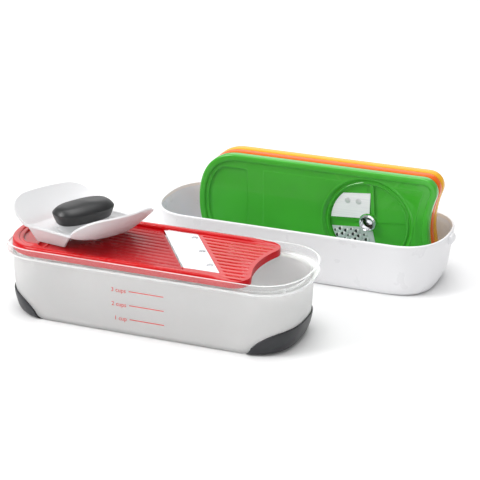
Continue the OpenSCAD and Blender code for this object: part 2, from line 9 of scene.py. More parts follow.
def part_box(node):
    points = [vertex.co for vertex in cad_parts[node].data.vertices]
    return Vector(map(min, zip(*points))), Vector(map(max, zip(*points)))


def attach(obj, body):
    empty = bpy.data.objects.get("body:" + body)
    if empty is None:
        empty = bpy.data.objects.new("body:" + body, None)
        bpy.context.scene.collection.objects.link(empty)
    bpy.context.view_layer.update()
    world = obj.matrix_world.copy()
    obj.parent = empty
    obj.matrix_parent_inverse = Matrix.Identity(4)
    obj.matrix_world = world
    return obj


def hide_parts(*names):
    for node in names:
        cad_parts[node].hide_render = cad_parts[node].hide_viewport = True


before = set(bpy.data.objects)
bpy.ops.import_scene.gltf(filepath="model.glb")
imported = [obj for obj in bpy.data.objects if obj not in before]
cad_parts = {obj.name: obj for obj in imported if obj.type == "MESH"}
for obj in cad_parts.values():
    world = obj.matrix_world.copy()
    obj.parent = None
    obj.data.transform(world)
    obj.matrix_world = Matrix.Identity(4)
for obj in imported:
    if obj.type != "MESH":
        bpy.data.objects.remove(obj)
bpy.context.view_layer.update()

MM = 0.001


# ---- sizes, read from the frame, in millimetres ----

def span(node):
    """Lowest and highest corner of a CAD node in millimetres."""
    low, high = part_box(node)
    return [c / MM for c in low], [c / MM for c in high]


box_low, box_high = span("container_body")
BOX_HALF = (box_high[0] - box_low[0]) / 2
BOX_SIDE = (box_high[1] - box_low[1]) / 2
BOX_TOP = box_high[2]
COLLAR_Z = BOX_TOP - 9        # foot of the clear collar
LEDGE_Z = BOX_TOP - 6.7       # ledge that carries the slicing plate
BOX_WALL = 2.2
WALL_TOP = 53                 # height at which the leaning wall meets the collar
WALL_LEAN = 1.1               # how far the front wall leans out over that height

lid_low, lid_high = span("lid_tub")
LUG_PROUD = 3.0
LID_HALF = (lid_high[0] - lid_low[0]) / 2 - LUG_PROUD
LID_SIDE = (lid_high[1] - lid_low[1]) / 2
LID_TOP = lid_high[2]
LID_X = (lid_low[0] + lid_high[0]) / 2
LID_Y = (lid_low[1] + lid_high[1]) / 2
LID_WALL = 2.4

plate_low, plate_high = span("slicer_frame")
PLATE_LEN = plate_high[0] - plate_low[0]
PLATE_SIDE = (plate_high[1] - plate_low[1]) / 2
PLATE_X = (plate_low[0] + plate_high[0]) / 2
PLATE_Z = plate_low[2]
BORDER_TOP = plate_high[2] - plate_low[2]
BORDER = 6.0                  # width of the raised border
DECK = BORDER_TOP - 1.7       # heights of the deck and of the land round the finger recess
LAND = BORDER_TOP - 0.9
SKIN = 2.0                    # thickness of the deck
DECK_INSET = 5.6              # the deck's outline, drawn in from the plate's
FIELD_INSET = 11.5            # and the raised field's
BOW = 7.0                     # depth of the bowed handle end
BOW_HALF = 33
CORNER = 13.0
BOW_RADIUS = (BOW_HALF * BOW_HALF + BOW * BOW) / (2 * BOW)
BOW_Y = PLATE_SIDE - CORNER
BOW_X = PLATE_LEN / 2 - CORNER + sqrt((BOW_RADIUS + CORNER) ** 2 - BOW_Y ** 2)
BOW_TURN = asin(BOW_Y / (BOW_RADIUS + CORNER))

# the blade's own coordinate u runs square to its edge; y stays the plate's
BLADE_TURN = radians(34.8)
EDGE_U = 30.65 * cos(BLADE_TURN)
SEAT_U = EDGE_U + 11.5
BACK_U = EDGE_U + 25.7
RAMP_U = EDGE_U - 0.9
BLADE_LOW = DECK - 0.8
BLADE_Y = (-33.5, 39.2)
SLICE = 1.5                   # drop from the blade to the ramp
RAMP_SLOPE = tan(radians(1.2))

GROOVES = 12
GROOVE_PITCH = 6.45
GROOVE_DEPTH = 0.5
GROOVE_SIDE = [(0.95, 0.0), (0.62, 0.12), (0.4, GROOVE_DEPTH)]   # half width and depth

SLICER_PAN_END = -79.0        # straight side of the finger recess
STORED_PAN_END = -64.5
STORED_PAN_DEPTH = 1.6

HOLDER = (-69.9, -1.6, PLATE_Z + 16.3)
HOLDER_TURN = radians(-30)


# ---- small tools ----

def smooth_step(t):
    """Eased step from 0 to 1."""
    t = min(1.0, max(0.0, t))
    return t * t * (3 - 2 * t)


def spow(v, e):
    """Power that keeps the sign, for superellipses."""
    return (1 if v >= 0 else -1) * abs(v) ** e


class Shell:
    """Points and faces of one piece, in millimetres, with a material number for each face."""

    def __init__(self):
        self.points = []
        self.faces = []
        self.slots = []

    def add(self, points, faces, slot=0):
        base = len(self.points)
        self.points += [tuple(p) for p in points]
        self.faces += [[base + i for i in f] for f in faces]
        self.slots += [slot] * len(faces)

    def ring_loft(self, rings, slot=0, caps=True, slot_of=None):
        """Closed skin through rings of equal length; slot_of(i) dresses the band from ring i to i + 1."""
        n = len(rings[0])
        base = len(self.points)
        for ring in rings:
            self.points += [tuple(p) for p in ring]
        for i in range(len(rings) - 1):
            for j in range(n):
                a = base + i * n + j
                b = base + i * n + (j + 1) % n
                self.faces.append([a, b, b + n, a + n])
                self.slots.append(slot_of(i) if slot_of else slot)
        if caps:
            self.cap(rings[0], slot_of(0) if slot_of else slot, True)
            self.cap(rings[-1], slot_of(len(rings) - 2) if slot_of else slot, False)

    def cap(self, ring, slot, flip):
        """Fan that closes a ring."""
        n = len(ring)
        middle = [sum(p[k] for p in ring) / n for k in range(3)]
        faces = [[j, (j + 1) % n, n] if not flip else [(j + 1) % n, j, n] for j in range(n)]
        self.add(list(ring) + [middle], faces, slot)

    def band_loop(self, rings, slot_of=None):
        """Closed tube: the last ring joins the first one."""
        self.ring_loft(list(rings) + [rings[0]], 0, caps=False, slot_of=slot_of)

    def grid(self, top, under, slot=0):
        """Closed solid between two equal grids of points."""
        m, n = len(top), len(top[0])
        points = [p for row in top for p in row] + [p for row in under for p in row]
        b = m * n
        faces = []
        for i in range(m - 1):
            for j in range(n - 1):
                a = i * n + j
                faces.append([a, a + 1, a + n + 1, a + n])
                faces.append([b + a, b + a + n, b + a + n + 1, b + a + 1])
        rim = [j for j in range(n - 1)] + [i * n + n - 1 for i in range(m - 1)]
        rim += [(m - 1) * n + j for j in range(n - 1, 0, -1)] + [i * n for i in range(m - 1, 0, -1)]
        for i, p in enumerate(rim):
            q = rim[(i + 1) % len(rim)]
            faces.append([p, q, b + q, b + p])
        self.add(points, faces, slot)

    def slab(self, outer, holes, z0, z1, slot=0):
        """Flat plate with holes between two heights."""
        loops = [outer] + holes
        flat = [p for loop in loops for p in loop]
        n = len(flat)
        tris = tessellate_polygon([[Vector((p[0], p[1], 0)) for p in loop] for loop in loops])
        points = [(p[0], p[1], z1) for p in flat] + [(p[0], p[1], z0) for p in flat]
        faces = [list(t) for t in tris] + [[n + i for i in reversed(t)] for t in tris]
        base = 0
        for loop in loops:
            k = len(loop)
            for j in range(k):
                a, c = base + j, base + (j + 1) % k
                faces.append([a, c, n + c, n + a])
            base += k
        self.add(points, faces, slot)

    def moved(self, place):
        self.points = [place(p) for p in self.points]


def new_object(name, data):
    """A new object, linked to the scene."""
    item = bpy.data.objects.new(name, data)
    bpy.context.scene.collection.objects.link(item)
    return item


def make(name, shell, body, materials, replaces=(), angle=32):
    """Turns a shell into a finished piece that rides on its body."""
    mesh = bpy.data.meshes.new(name)
    mesh.from_pydata([tuple(c * MM for c in p) for p in shell.points], [], shell.faces)
    for polygon, number in zip(mesh.polygons, shell.slots):
        polygon.material_index = number
    work = bmesh.new()
    work.from_mesh(mesh)
    bmesh.ops.remove_doubles(work, verts=work.verts, dist=0.002 * MM)
    bmesh.ops.dissolve_degenerate(work, edges=work.edges, dist=0.001 * MM)
    bmesh.ops.recalc_face_normals(work, faces=work.faces)
    work.to_mesh(mesh)
    work.free()
    for polygon in mesh.polygons:
        polygon.use_smooth = True
    mesh.set_sharp_from_angle(angle=radians(angle))
    for material in materials:
        mesh.materials.append(material)
    piece = new_object(name, mesh)
    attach(piece, body)
    if replaces:
        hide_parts(*replaces)
    return piece


def dress(node, material):
    """Gives a CAD node a finished material."""
    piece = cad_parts[node]
    piece.data.materials.clear()
    piece.data.materials.append(material)


# ---- materials ----

class Nodes:
    """A short way to write a material's node tree."""

    def __init__(self, name):
        self.material = bpy.data.materials.new(name)
        self.material.use_nodes = True
        self.tree = self.material.node_tree
        self.shader = self.tree.nodes["Principled BSDF"]
        self.place = self.node("ShaderNodeTexCoord").outputs["Object"]

    def node(self, kind):
        return self.tree.nodes.new(kind)

    def link(self, out, into):
        self.tree.links.new(out, into)

    def feed(self, socket, out):
        self.link(out, self.shader.inputs[socket])

    def set(self, **values):
        """Sets the shader's own sockets; an underscore stands for a space."""
        for key, value in values.items():
            self.shader.inputs[key.replace("_", " ")].default_value = value

    def stretched(self, scale):
        mapping = self.node("ShaderNodeMapping")
        mapping.inputs["Scale"].default_value = scale
        self.link(self.place, mapping.inputs["Vector"])
        return mapping.outputs["Vector"]

    def noise(self, scale, detail=3.0, vector=None):
        item = self.node("ShaderNodeTexNoise")
        item.inputs["Scale"].default_value = scale
        item.inputs["Detail"].default_value = detail
        self.link(vector or self.place, item.inputs["Vector"])
        return item.outputs["Fac"]

    def range(self, fac, low, high):
        """Spreads the middle of a noise over a range of values."""
        item = self.node("ShaderNodeMapRange")
        item.inputs["From Min"].default_value = 0.3
        item.inputs["From Max"].default_value = 0.7
        item.inputs["To Min"].default_value = low
        item.inputs["To Max"].default_value = high
        self.link(fac, item.inputs["Value"])
        return item.outputs["Result"]

    def colours(self, fac, first, second):
        """Spreads the middle of a noise between two colours."""
        item = self.node("ShaderNodeValToRGB")
        for element, position, colour in zip(item.color_ramp.elements, (0.35, 0.65), (first, second)):
            element.position = position
            element.color = (*colour, 1)
        self.link(fac, item.inputs["Fac"])
        return item.outputs["Color"]

    def bump(self, fac, strength, distance):
        item = self.node("ShaderNodeBump")
        item.inputs["Strength"].default_value = strength
        item.inputs["Distance"].default_value = distance
        self.link(fac, item.inputs["Height"])
        self.feed("Normal", item.outputs["Normal"])


def shade(colour, factor):
    return tuple(min(1.0, c * factor) for c in colour)


def moulded(name, colour, rough=(0.16, 0.24), depth=0.00002, swing=0.05, gloss=0.5):
    """Glossy or satin moulded plastic: slow colour drift, uneven gloss and a fine skin."""
    m = Nodes(name)
    drift = m.colours(m.noise(24.0, 2.0), shade(colour, 1 - swing), shade(colour, 1 + swing))
    m.feed("Base Color", drift)
    m.feed("Roughness", m.range(m.noise(60.0, 4.0), *rough))
    m.bump(m.noise(900.0, 2.0), 0.25, depth)
    m.set(IOR=1.5, Specular_IOR_Level=gloss)
    return m.material


def frosted(name, colour, rough, clear, depth=0.00003, solid=1.0):
    """Translucent plastic: clear is the share of light let through, solid is how far the skin covers."""
    m = Nodes(name)
    m.feed("Base Color", m.colours(m.noise(18.0, 3.0), shade(colour, 0.98), colour))
    m.feed("Roughness", m.range(m.noise(80.0, 4.0), rough * 0.85, rough * 1.15))
    if depth:
        m.bump(m.noise(1400.0, 3.0), 0.3, depth)
    m.set(Transmission_Weight=clear, IOR=1.49, Alpha=solid)
    return m.material


def rubber(name, colour, rough=(0.42, 0.55)):
    """Soft satin rubber with a fine matt skin."""
    m = Nodes(name)
    drift = m.colours(m.noise(30.0, 4.0), shade(colour, 0.9), shade(colour, 1.15))
    m.feed("Base Color", drift)
    m.feed("Roughness", m.range(m.noise(140.0, 5.0), *rough))
    m.bump(m.noise(2600.0, 4.0), 0.35, 0.00004)
    m.set(IOR=1.5, Sheen_Weight=0.1, Sheen_Roughness=0.5)
    return m.material


def steel(name, colour, rough=(0.16, 0.3), stretch=(6.0, 900.0, 6.0), depth=0.000012, metal=1.0):
    """Steel with fine grinding lines; stretch is the noise's scale along each axis."""
    m = Nodes(name)
    lines = m.noise(3.0, 6.0, m.stretched(stretch))
    m.feed("Base Color", m.colours(lines, shade(colour, 0.9), shade(colour, 1.08)))
    m.feed("Roughness", m.range(lines, *rough))
    m.bump(lines, 0.2, depth)
    m.set(Metallic=metal)
    return m.material


FROST = frosted("frosted_wall", (0.985, 0.99, 0.985), 0.42, 0.62)
CLEAR = frosted("clear_collar", (0.85, 0.88, 0.88), 0.05, 0.0, depth=0, solid=0.09)
# Near-opaque white on the clear collar's edges: painted highlight lines along its foot, the top of its lip
# and the ledge.
EDGE_HIGHLIGHT = frosted("collar_edge_highlight", (0.97, 0.98, 0.98), 0.12, 0.3, depth=0, solid=0.85)
MILKY = frosted("milky_holder", (0.92, 0.925, 0.935), 0.34, 0.38)
RED = moulded("red_plastic", (0.53, 0.001, 0.003), (0.08, 0.13), gloss=0.42)
# Ramp: the same red plastic with a rougher, less glossy skin, which is real; its darker base colour is
# painted shade.
RAMP_SATIN_AND_SHADE = moulded("red_ramp_satin_and_shade", (0.42, 0.002, 0.006), (0.26, 0.34), swing=0.03, gloss=0.3)
SKIRT = moulded("red_skirt", (0.64, 0.003, 0.01), (0.3, 0.4), gloss=0.15)
GREEN = moulded("green_plastic", (0.050, 0.40, 0.026), (0.07, 0.12))
ORANGE = moulded("orange_plastic", (0.78, 0.12, 0.003), gloss=0.15)
YELLOW = moulded("yellow_plastic", (0.80, 0.40, 0.015), gloss=0.2)
WHITE = moulded("white_plastic", (0.80, 0.80, 0.815), (0.27, 0.29), depth=0.000006, swing=0.003)
# Lid's inner faces: the same white plastic painted darker and bluer as painted shade.
LID_INSIDE_SHADE = moulded("lid_inside_shade", (0.70, 0.755, 0.84), (0.27, 0.29), depth=0.000006, swing=0.003)
GRIP = rubber("grip_rubber", (0.016, 0.017, 0.021))
KNOB = rubber("knob_rubber", (0.005, 0.0055, 0.0065), (0.34, 0.4))
STEEL = steel("blade_steel", (0.86, 0.87, 0.89), depth=0.000006)
# Spiral blade: real grinding lines, but its near-white, barely metallic colour is a painted reflection of the
# white surroundings.
STEEL_PAINTED_REFLECTION = steel("steel_painted_white_reflection", (0.96, 0.96, 0.99), (0.3, 0.4), (6.0, 6.0, 900.0), 0.000004, metal=0.12)
TEETH = steel("tooth_steel", (0.74, 0.76, 0.76), (0.3, 0.4), (30.0, 30.0, 30.0), metal=0.5)
DOT = steel("rivet_steel", (0.62, 0.63, 0.66), (0.2, 0.34), (40.0, 40.0, 40.0))
PLATED = steel("tube_chrome", (0.82, 0.83, 0.85), (0.03, 0.08), (60.0, 60.0, 400.0), 0.000004)
# Dark disc in each tooth's mouth: painted shade.
TOOTH_MOUTH_SHADE = rubber("tooth_shadow", (0.012, 0.012, 0.012))
MARK = moulded("mark_ink", (0.72, 0.05, 0.04), (0.35, 0.5))


# ---- outlines ----

def end_curve(s, steps):
    """One rounded end from front to back: half length, half width, end length, squareness."""
    length, width, end, square = s
    points = []
    for i in range(steps + 1):
        t = -pi / 2 + pi * i / steps
        points.append((length - end + end * max(cos(t), 0) ** (2 / square), width * spow(sin(t), 2 / square)))
    return points


def joined(start, stop, straight):
    """Points between two ends of a straight side, the ends left out."""
    shares = [i / straight for i in range(1, straight)]
    return [(start[0] * (1 - t) + stop[0] * t, start[1]) for t in shares]


def oval(s, steps=72, straight=6):
    """Whole outline, anticlockwise from the front of the right end."""
    right = end_curve(s, steps)
    left = [(-x, y) for x, y in reversed(right)]
    return right + joined(right[-1], left[0], straight) + left + joined(left[-1], right[0], straight)


def level(s, z):
    """An oval at one height."""
    return [(x, y, z) for x, y in oval(s)]


def inset(s, d):
    """Sizes of an oval drawn in by d."""
    return (s[0] - d, s[1] - d, s[2] - 0.8 * d, s[3])


def foot(z, size, rise):
    """How far a wall is drawn in at height z by its rounded foot."""
    return size * (1 - sqrt(1 - max(0.0, 1 - z / rise) ** 2))


def box_at(z):
    """Outer oval of the box at height z, below its collar."""
    k = z / WALL_TOP
    return (BOX_HALF - 7.5 + 2.5 * k - foot(z, 8.7, 34), BOX_SIDE - 5.5 + WALL_LEAN * k - foot(z, 3, 6),
            48.5 - 7.5 * k, 2.84 - 0.49 * k)


def lid_at(z):
    """Outer oval of the lid at height z, below its rim."""
    k = z / 48
    return (LID_HALF - 7.6 + 7.8 * k - foot(z, 5.5, 18), LID_SIDE - 6.3 + 5.9 * k - foot(z, 2.6, 6),
            42 - k, 3 - 0.65 * k)


NECK = 1.6                    # height of the step from the frosted wall to the collar
BOX_RIM = (BOX_HALF, BOX_SIDE, 41, 2.35)
LID_RIM = (LID_HALF, LID_SIDE, 41, 2.35)


def arc(centre, radius, start, stop, steps):
    """Points of an arc, both ends included."""
    turns = [start + (stop - start) * i / steps for i in range(steps + 1)]
    return [(centre[0] + radius * cos(t), centre[1] + radius * sin(t)) for t in turns]


def plate_outline(o, ends=48, corner=16, bow=24, straight=10):
    """Outline of a plate drawn in by o: bowed handle end at +x, rounded end at -x."""
    corner_x = PLATE_LEN / 2 - CORNER
    low = arc((corner_x, -BOW_Y), CORNER - o, -pi / 2, BOW_TURN, corner)
    middle = arc((BOW_X, 0), BOW_RADIUS + o, pi + BOW_TURN, pi - BOW_TURN, bow)[1:-1]
    high = arc((corner_x, BOW_Y), CORNER - o, -BOW_TURN, pi / 2, corner)
    left = end_curve((PLATE_LEN / 2 - o, PLATE_SIDE - o, 38 - 0.8 * o, 2.35), ends)
    left = [(-x, y) for x, y in reversed(left)]
    front = [(x, low[0][1]) for x, y in joined(left[-1], low[0], straight)]
    return low + middle + high + joined(high[-1], left[0], straight) + left + front


def bow_edge(y, o):
    """x of the bowed end at y for an outline drawn in by o."""
    right = sorted((p[1], p[0]) for p in plate_outline(o) if p[0] > PLATE_LEN / 2 - CORNER)
    for (ya, xa), (yb, xb) in zip(right, right[1:]):
        if ya <= y <= yb:
            return xa + (xb - xa) * (y - ya) / max(yb - ya, 1e-9)
    return right[0][1] if y < right[0][0] else right[-1][1]


def along(u, y):
    """x at which the blade's own coordinate is u, for a given y."""
    return (u - y * sin(BLADE_TURN)) / cos(BLADE_TURN)


def clip_right(points, x):
    """Outline with everything on the right of x cut off, closed along x."""
    kept = []
    n = len(points)
    for i in range(n):
        a, b = points[i], points[(i + 1) % n]
        if a[0] <= x:
            kept.append(a)
        if (a[0] <= x) != (b[0] <= x):
            t = (x - a[0]) / (b[0] - a[0])
            kept.append((x, a[1] + (b[1] - a[1]) * t))
    return kept


def clip_left(points, x):
    """Outline with everything on the left of x cut off, closed along x."""
    return [(-a, b) for a, b in reversed(clip_right([(-a, b) for a, b in reversed(points)], -x))]


# ---- box ----

def build_box():
    """Frosted body, a neck that widens to the clear collar, the ledge inside it, and the inner wall."""
    outer_z = [0, 0.3, 0.8, 1.6, 2.6, 4, 5.6, 7.5, 10, 13, 17, 22, 28, 34, 40, 46, 51, COLLAR_Z - NECK]
    inner_z = [COLLAR_Z - 6, 44, 36, 28, 21, 15, 10, 6.5, 4, 2.2, 1, 0.4, 0]
    rings = [level(box_at(z), z) for z in outer_z]
    step = box_at(COLLAR_Z - NECK)
    for k in (0.15, 0.5, 0.85, 1.0):
        size = (step[0] + (BOX_RIM[0] - 0.6 - step[0]) * k, step[1] + (BOX_RIM[1] - step[1] - 0.6) * k,
                step[2] * (1 - k) + 40.5 * k, 2.35)
        rings.append(level(size, COLLAR_Z - NECK + NECK * k ** 0.6))
    first_clear = len(rings) - 2
    # the rings in edge get the near-opaque white that paints highlight lines on the collar's foot, lip top
    # and ledge
    edge = {first_clear, first_clear + 1}
    # collar, lip and ledge, as (inset, height)
    lip = [(0.5, COLLAR_Z + 0.4), (0.4, COLLAR_Z + 2), (0.25, BOX_TOP - 3), (0.0, BOX_TOP - 1.6),
           (0.05, BOX_TOP - 0.8), (0.35, BOX_TOP - 0.2), (0.8, BOX_TOP), (1.7, BOX_TOP),
           (2.25, BOX_TOP - 0.25), (2.55, BOX_TOP - 0.8), (2.6, BOX_TOP - 2), (2.65, LEDGE_Z + 0.5),
           (2.8, LEDGE_Z + 0.1)]
    for d, z in lip:
        rings.append(level(inset(BOX_RIM, d), z))
        if (BOX_TOP - 0.3 < z and d < 1) or z < COLLAR_Z + 1:
            edge.add(len(rings) - 1)
    rings.append(level(inset(box_at(LEDGE_Z), BOX_WALL - 0.4), LEDGE_Z))
    last_clear = len(rings) - 1
    edge.add(last_clear)
    rings.append(level(inset(box_at(LEDGE_Z), BOX_WALL), LEDGE_Z - 0.4))
    rings += [level(inset(box_at(z), BOX_WALL), z + BOX_WALL) for z in inner_z]
    materials = [FROST, CLEAR, EDGE_HIGHLIGHT]

    def slot_of(i):
        if i in edge:
            return materials.index(EDGE_HIGHLIGHT)
        return materials.index(CLEAR if first_clear <= i <= last_clear else FROST)
    shell = Shell()
    shell.ring_loft(rings, slot_of=slot_of)
    make("box_shell", shell, "box", materials, ["container_body"])


GRIP_START, GRIP_RUN, GRIP_RISE = 90, 31, 21


def grip_height(x):
    """Upper edge of a grip: an arc that rises from the floor towards the end of the box."""
    reach = min(1.0, max(0.0, (abs(x) - GRIP_START) / GRIP_RUN))
    return GRIP_RISE * sqrt(1 - (1 - reach) ** 2)


def end_point(s, t):
    """Point of an oval's right end at turn t."""
    return (s[0] - s[2] + s[2] * max(cos(t), 0) ** (2 / s[3]), s[1] * spow(sin(t), 2 / s[3]))


def build_grip(side, name):
    """Soft end cap: follows the wall, its upper edge sweeps down along the sides."""
    columns = 72
    sweep = radians(73)
    # share of the height, distance out from the wall, and 0 for the points on the floor
    profile = [(0.0, 0.2, 0), (0.0, 0.7, 0), (0.0, 1.0, 0), (0.02, 1.25, 1), (0.06, 1.42, 1), (0.15, 1.5, 1),
               (0.3, 1.5, 1), (0.5, 1.5, 1), (0.7, 1.5, 1), (0.84, 1.48, 1), (0.92, 1.38, 1), (0.965, 1.2, 1),
               (0.99, 0.9, 1), (1.0, 0.55, 1), (1.0, 0.2, 1), (0.8, 0.2, 1), (0.5, 0.2, 1), (0.2, 0.2, 1)]
    rings = []
    for share, proud, lifted in profile:
        row = []
        for j in range(columns + 1):
            t = -sweep + 2 * sweep * j / columns
            x = end_point(box_at(0), t)[0]
            top = max(1.4, grip_height(x))
            z = (0.6 + (top - 0.6) * share) if lifted else 0.0
            q = end_point(inset(box_at(z), -proud), t)
            row.append((side * q[0], q[1], z))
        rings.append(row)
    shell = Shell()
    n = columns + 1
    points = [p for row in rings for p in row]
    faces = []
    m = len(rings)
    for i in range(m):
        for j in range(columns):
            a, b = i * n + j, ((i + 1) % m) * n + j
            faces.append([a, a + 1, b + 1, b])
    faces.append([i * n for i in range(m)])
    faces.append([i * n + columns for i in range(m - 1, -1, -1)])
    shell.add(points, faces)
    make(name, shell, "box", [GRIP], [name.replace("_cap", "")], angle=50)


FIRST_CUP_Z, CUP_GAP = 14.5, 12.65


def wall_y(z):
    """Just before the front wall of the box at height z."""
    return -(box_at(z)[1] + 0.12)


def build_marks():
    """Printed measuring lines, one for each cup."""
    for count in (1, 2, 3):
        z = FIRST_CUP_Z + CUP_GAP * (count - 1)
        shell = Shell()
        top = [[(x, wall_y(h), h) for x in (-9.0, 6.5, 22.0)] for h in (z + 0.35, z, z - 0.35)]
        under = [[(x, y + 0.1, h) for x, y, h in row] for row in top]
        shell.grid(top, under)
        make(f"measure_line_{count}", shell, "box", [MARK])
        build_words(count, z)


def build_words(count, z):
    """Generic words in front of one measuring line."""
    words = bpy.data.curves.new(f"measure_text_{count}", "FONT")
    words.body = f"{count} cup" + ("s" if count > 1 else "")
    words.size = 5.2 * MM
    words.align_x = "RIGHT"
    words.extrude = 0.05 * MM
    text = new_object(f"measure_text_{count}", words)
    text.rotation_euler = (radians(90) + atan(WALL_LEAN / WALL_TOP), 0, 0)
    text.location = (-11.5 * MM, wall_y(z) * MM, (z - 1.8) * MM)
    words.materials.append(MARK)
    bpy.context.view_layer.update()
    mesh = bpy.data.meshes.new_from_object(text.evaluated_get(bpy.context.evaluated_depsgraph_get()))
    mesh.transform(text.matrix_world)
    bpy.data.objects.remove(text)
    piece = new_object(f"measure_text_{count}", mesh)
    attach(piece, "box")


# ---- lid ----

def build_lid():
    """Deep lid, open side up, with its lugs and the two ribs that hold the stored plates."""
    outer_z = [0, 0.3, 0.8, 1.6, 2.6, 4, 6, 8.5, 12, 16, 21, 27, 33, 39, 43, LID_TOP - 4]
    inner_z = [LID_TOP - 7, 38, 32, 26, 20, 15, 10, 6.5, 4, 2.2, 1, 0.4, 0]
    rings = [level(lid_at(z), z) for z in outer_z]
    rings += [level(inset(LID_RIM, d), z) for d, z in (
        (0.0, LID_TOP - 2), (0.0, LID_TOP - 1), (0.25, LID_TOP - 0.35), (0.75, LID_TOP),
        (1.75, LID_TOP), (2.2, LID_TOP - 0.3), (2.4, LID_TOP - 0.9), (2.5, LID_TOP - 3))]
    first_inside = len(rings) - 1
    rings += [level(inset(lid_at(z), LID_WALL), z + LID_WALL) for z in inner_z]
    # the inner faces take the darker, bluer copy of the white, which is painted shade
    materials = [WHITE, LID_INSIDE_SHADE]
    shell = Shell()
    shell.ring_loft(rings, slot_of=lambda i: materials.index(LID_INSIDE_SHADE if i >= first_inside else WHITE))
    for side in (-1, 1):
        add_lug(shell, side)
        add_floor_rib(shell, side * 55 + 12)
    shell.moved(lambda p: (p[0] + LID_X, p[1] + LID_Y, p[2]))
    make("lid_shell", shell, "lid", materials, ["lid_tub"])


def add_floor_rib(shell, x):
    """Low rib across the lid's floor, with softened top edges."""
    low, high = LID_WALL - 0.2, LID_WALL + 3.1
    section = [(x, low), (x, high - 0.5), (x + 0.5, high), (x + 1.9, high), (x + 2.4, high - 0.5),
               (x + 2.4, low)]
    shell.ring_loft([[(a, y, b) for a, b in section] for y in (-16, 28)])


def add_lug(shell, side):
    """Rounded latch lug at one end of the rim."""
    profile = [(0, 0), (2.2, 0.4), (3.6, 1.0), (4.2, 1.8), (4.4, 3.4), (4.4, 5.4), (4.0, 6.8), (3.2, 7.8),
               (2.0, 8.4), (0.6, 8.5)]
    root, base = LID_HALF - 1.4, LID_TOP - 9.5
    rings = []
    for y, shrink in ((-5.5, 0.7), (-5.2, 0.35), (-4.6, 0), (4.6, 0), (5.2, 0.35), (5.5, 0.7)):
        rings.append([(side * (root + max(0, a - shrink)), y, base + shrink + b * (1 - shrink / 5))
                      for a, b in profile])
    shell.ring_loft(rings)


# ---- plates ----

SKIRT_FACES = range(3, 6)     # bands of the border profile that make up the skirt
FLUSH_START, FLUSH_RUN = 92.5, 6.0


def border_rings(flush):
    """Border and skirt, swept round the outline; flush drops the border at the handle."""
    top = BORDER_TOP
    # inset and height
    profile = [(2.2, 0), (1.4, 0), (0.5, 0.05), (0.1, 0.3), (0, 0.8), (0, 3.5), (0, top - 1.7),
               (0.1, top - 1.1), (0.4, top - 0.55), (0.9, top - 0.18), (1.6, top), (2.6, top), (3.9, top),
               (4.8, top - 0.08), (5.35, top - 0.35), (5.7, top - 0.8), (5.9, top - 1.3), (6.05, DECK),
               (6.1, DECK - 0.8), (6.1, DECK - SKIN), (2.2, DECK - SKIN)]
    rings = []
    for o, z in profile:
        ring = []
        for x, y in plate_outline(o):
            h = z
            if flush and z > DECK - 0.5:
                low = DECK if o < 1.2 else DECK - 0.6
                h = z - (z - low) * smooth_step((x - FLUSH_START) / FLUSH_RUN)
            ring.append((x, y, h))
        rings.append(ring)
    return rings


def recess_outline(o, end):
    """Finger recess: the rounded end of the plate, cut off along a straight line."""
    half = 33.6 - o
    points = [(x, max(-half, min(half, y))) for x, y in clip_right(plate_outline(8.5 + o), end - o)]
    kept = [points[0]]
    for p in points[1:]:
        if abs(p[0] - kept[-1][0]) + abs(p[1] - kept[-1][1]) > 0.02:
            kept.append(p)
    return kept


def round_corners(points, radius, steps=6):
    """Rounds every corner of an outline that turns by more than a little."""
    out = []
    n = len(points)
    for i in range(n):
        a, b, c = (Vector(points[(i + k) % n]) for k in (-1, 0, 1))
        u, v = (a - b), (c - b)
        turn = pi - u.angle(v)
        if turn < radians(25):
            out.append(tuple(b))
            continue
        reach = min(radius * tan(turn / 2), u.length * 0.49, v.length * 0.49)
        p, q = b + u.normalized() * reach, b + v.normalized() * reach
        for k in range(steps + 1):
            t = k / steps
            out.append(tuple((1 - t) ** 2 * p + 2 * t * (1 - t) * b + t * t * q))
    return out


def add_pan(shell, end, rim_z, floor_z):
    """Walls and floor of the finger recess, with a soft lip round it; returns the hole for it."""
    outline = round_corners(recess_outline(0, end), 4.0)
    cx = sum(p[0] for p in outline) / len(outline)

    def pulled(d, z):
        ring = []
        for x, y in outline:
            dx, dy = x - cx, y
            r = sqrt(dx * dx + dy * dy)
            ring.append((x - dx / r * d, y - dy / r * d, z))
        return ring
    lip = [(-0.9, rim_z - SKIN), (-0.9, rim_z), (-0.5, rim_z + 0.22), (0.1, rim_z + 0.2),
           (0.7, rim_z - 0.2), (1.2, floor_z + 0.35), (2.0, floor_z), (4.0, floor_z)]
    rings = [pulled(d, z) for d, z in lip]
    shell.ring_loft(rings, caps=False)
    shell.cap(rings[-1], 0, False)
    low = [(x, y, floor_z - 1.2) for x, y, z in rings[0]]
    shell.cap(low, 0, True)
    shell.ring_loft([low, rings[0]], caps=False)
    return [(p[0], p[1]) for p in rings[0]]


def rib_rows(half):
    """Rows across a ribbed deck: every groove has two lips and a floor."""
    rows = [(-half, 0.0)]
    for i in range(GROOVES):
        y = (i - (GROOVES - 1) / 2) * GROOVE_PITCH
        rows += [(y - w, depth) for w, depth in GROOVE_SIDE]
        rows += [(y + w, depth) for w, depth in reversed(GROOVE_SIDE)]
    rows.append((half, 0.0))
    return rows


